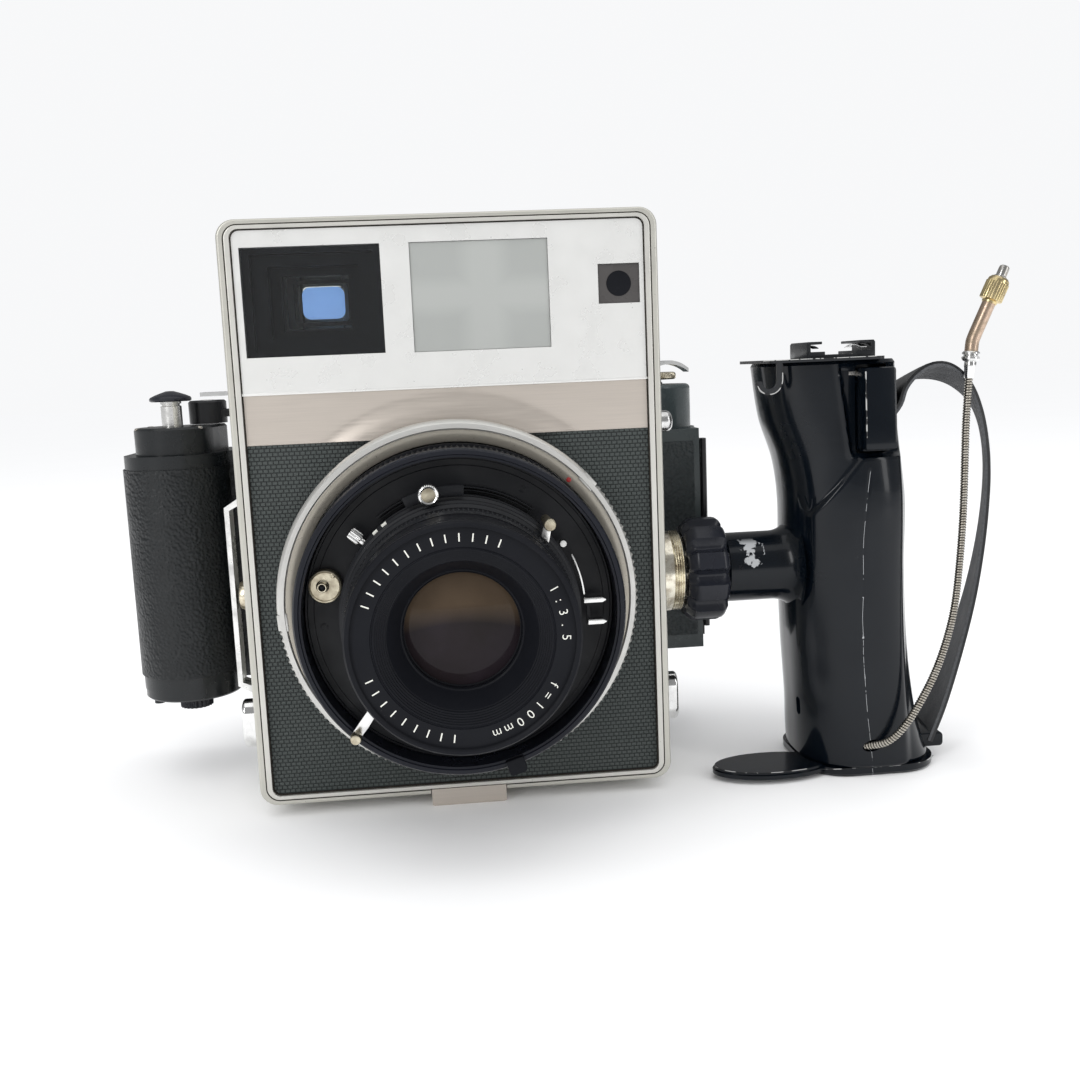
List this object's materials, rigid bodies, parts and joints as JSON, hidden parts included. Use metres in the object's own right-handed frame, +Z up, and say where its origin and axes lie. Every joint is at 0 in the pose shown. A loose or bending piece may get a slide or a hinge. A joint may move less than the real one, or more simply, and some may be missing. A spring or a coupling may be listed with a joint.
{
  "type": "press camera",
  "caption": "Roll-film press camera with an interchangeable leaf-shutter lens, sliding film back, side grip with hand strap and cable release.",
  "frame": {"origin": "mouth of the tripod socket, in the foot block straight below the lens", "axes": "+X along the camera from the film advance end to the grip, +Y from the lens to the film, +Z up"},
  "size_m": [0.2778, 0.1436, 0.1724],
  "materials": {
    "champagne_shell": "satin",
    "silver_face": "satin",
    "fascia_metal": "satin",
    "champagne_band": "brushed satin",
    "grey_leatherette": "fine woven grain",
    "black_leather": "pebbled",
    "strap_leather": "smooth, grey inside",
    "dark_mask": "matte",
    "clear_glass": "clear",
    "frosted_glass": "frosted",
    "lens_glass": "coated",
    "chrome": "bright",
    "satin_chrome": "satin",
    "black_metal": "semi gloss",
    "gloss_black": "gloss, chipped",
    "black_plastic": "gloss",
    "bellows_cloth": "folded cloth",
    "blade_steel": "dark",
    "bare_steel": "plain",
    "brass": "worn",
    "cable_steel": "spiral"
  },
  "bodies": {
    "camera_body": {"body_shell": "champagne_shell", "front_plate": "silver_face", "top_fascia": "fascia_metal", "face_band": "champagne_band", "front_leatherette": "grey_leatherette", "viewfinder_mask": "dark_mask", "viewfinder_glass": "clear_glass", "finder_optics": "clear_glass", "frosted_window": "frosted_glass", "rangefinder_window": "clear_glass", "top_shoe": "chrome", "tripod_block": "satin_chrome", "side_stirrup": "satin_chrome", "grip_sockets": "brass", "strap_lugs": "chrome", "bellows": "bellows_cloth", "mount_flange": "satin_chrome", "mount_barrel": "black_metal", "grip_body": "gloss_black", "grip_cover": "gloss_black", "base_cap": "gloss_black", "shoe_plate": "black_metal", "grip_shoe": "chrome", "trigger_pin": "bare_steel", "hand_strap": "strap_leather", "cable_lead": "cable_steel", "cable_fitting": "brass"},
    "breech_ring": {"breech_ring": "satin_chrome"},
    "lens_unit": {"lens_pan": "black_metal", "shutter_housing": "black_metal", "front_barrel": "black_metal", "front_element": "lens_glass", "rear_element": "lens_glass", "shutter_blades": "blade_steel", "shutter_sockets": "champagne_band"},
    "focus_ring": {"focus_ring": "black_metal"},
    "speed_ring": {"speed_ring": "black_metal"},
    "selector_knob": {"selector_knob": "chrome"},
    "cocking_lever": {"cocking_lever": "chrome"},
    "aperture_lever": {"aperture_lever": "chrome"},
    "release_lever": {"release_lever": "chrome"},
    "film_holder": {"rear_frame": "black_metal", "extension_rods": "bare_steel", "holder_body": "black_metal", "holder_end_caps": "gloss_black", "holder_leather": "black_leather", "cover_hinge_pin": "bare_steel"},
    "holder_cover": {"back_cover": "black_leather", "pressure_plate": "black_metal"},
    "advance_lever": {"advance_lever": "black_metal"},
    "take_up_spool": {"take_up_spool": "black_plastic"},
    "supply_spool": {"supply_spool": "black_plastic"},
    "counter_wheel": {"counter_wheel": "brass"},
    "pull_knob": {"pull_knob": "black_plastic"},
    "dark_slide": {"dark_slide": "black_metal"},
    "rod_lock_left": {"rod_lock_left": "chrome"},
    "rod_lock_right": {"rod_lock_right": "chrome"},
    "release_button": {"release_button": "chrome"},
    "lock_knob": {"lock_knob": "gloss_black"},
    "trigger": {"trigger": "gloss_black"}
  },
  "joints": [
    {"name": "lens_focus", "type": "slide", "parent": "camera_body", "child": "lens_unit", "axis": [0, -1, 0], "range_m": [0, 0.011]},
    {"name": "focus_turn", "type": "hinge", "parent": "camera_body", "child": "focus_ring", "pos_m": [0, -0.03, 0.0628], "axis": [0, -1, 0], "range_deg": [0, 200]},
    {"name": "breech_turn", "type": "hinge", "parent": "camera_body", "child": "breech_ring", "pos_m": [0, -0.03, 0.0628], "axis": [0, -1, 0], "range_deg": [0, 35]},
    {"name": "speed_turn", "type": "hinge", "parent": "lens_unit", "child": "speed_ring", "pos_m": [0, -0.03, 0.0628], "axis": [0, -1, 0], "range_deg": [-60, 90]},
    {"name": "selector_turn", "type": "hinge", "parent": "lens_unit", "child": "selector_knob", "pos_m": [0, -0.03, 0.0628], "axis": [0, -1, 0], "range_deg": [-8, 9]},
    {"name": "cocking_turn", "type": "hinge", "parent": "lens_unit", "child": "cocking_lever", "pos_m": [0, -0.03, 0.0628], "axis": [0, -1, 0], "range_deg": [0, 36], "stiffness_Nm_per_rad": 0.004, "springref_deg": -17.19},
    {"name": "aperture_turn", "type": "hinge", "parent": "lens_unit", "child": "aperture_lever", "pos_m": [0, -0.03, 0.0628], "axis": [0, -1, 0], "range_deg": [0, 45]},
    {"name": "release_turn", "type": "hinge", "parent": "lens_unit", "child": "release_lever", "pos_m": [0, -0.03, 0.0628], "axis": [0, 1, 0], "range_deg": [0, 8], "stiffness_Nm_per_rad": 0.01, "springref_deg": -17.19},
    {"name": "back_extend", "type": "slide", "parent": "camera_body", "child": "film_holder", "axis": [0, 1, 0], "range_m": [0, 0.03]},
    {"name": "cover_open", "type": "hinge", "parent": "film_holder", "child": "holder_cover", "pos_m": [-0.1045, 0.0592, 0.068], "axis": [0, 0, 1], "range_deg": [0, 110]},
    {"name": "advance_stroke", "type": "hinge", "parent": "film_holder", "child": "advance_lever", "pos_m": [-0.0776, 0.0474, 0.116], "axis": [0, 0, 1], "range_deg": [0, 130], "stiffness_Nm_per_rad": 0.01, "springref_deg": -17.19},
    {"name": "take_up_turn", "type": "hinge", "parent": "film_holder", "child": "take_up_spool", "pos_m": [-0.087, 0.0375, 0.062], "axis": [0, 0, 1], "continuous": true},
    {"name": "supply_turn", "type": "hinge", "parent": "film_holder", "child": "supply_spool", "pos_m": [0.0695, 0.0575, 0.062], "axis": [0, 0, 1], "continuous": true},
    {"name": "counter_turn", "type": "hinge", "parent": "film_holder", "child": "counter_wheel", "pos_m": [0.0695, 0.0575, 0.12], "axis": [0, 0, 1], "continuous": true},
    {"name": "knob_push", "type": "slide", "parent": "film_holder", "child": "pull_knob", "axis": [0, 0, 1], "range_m": [-0.0075, 0]},
    {"name": "slide_draw", "type": "slide", "parent": "film_holder", "child": "dark_slide", "axis": [1, 0, 0], "range_m": [0, 0.128]},
    {"name": "left_lock_turn", "type": "hinge", "parent": "camera_body", "child": "rod_lock_left", "pos_m": [-0.0645, 0.018, 0.024], "axis": [1, 0, 0], "range_deg": [0, 80]},
    {"name": "right_lock_turn", "type": "hinge", "parent": "camera_body", "child": "rod_lock_right", "pos_m": [0.0645, 0.018, 0.024], "axis": [1, 0, 0], "range_deg": [0, 80]},
    {"name": "button_press", "type": "slide", "parent": "camera_body", "child": "release_button", "axis": [-1, 0, 0], "range_m": [0, 0.0015], "stiffness_N_per_m": 300, "springref_m": -0.002},
    {"name": "lock_knob_turn", "type": "hinge", "parent": "camera_body", "child": "lock_knob", "pos_m": [0.075, 0.006, 0.0628], "axis": [1, 0, 0], "continuous": true},
    {"name": "trigger_pull", "type": "hinge", "parent": "camera_body", "child": "trigger", "pos_m": [0.1233, -0.0086, 0.1206], "axis": [1, 0, 0], "range_deg": [0, 10], "stiffness_Nm_per_rad": 0.5, "springref_deg": -5.73}
  ],
  "couplings": [
    {"joint": "focus_turn", "follows": "lens_focus", "rad_per_m": 317},
    {"joint": "take_up_turn", "follows": "advance_stroke", "ratio": -2.5}
  ]
}
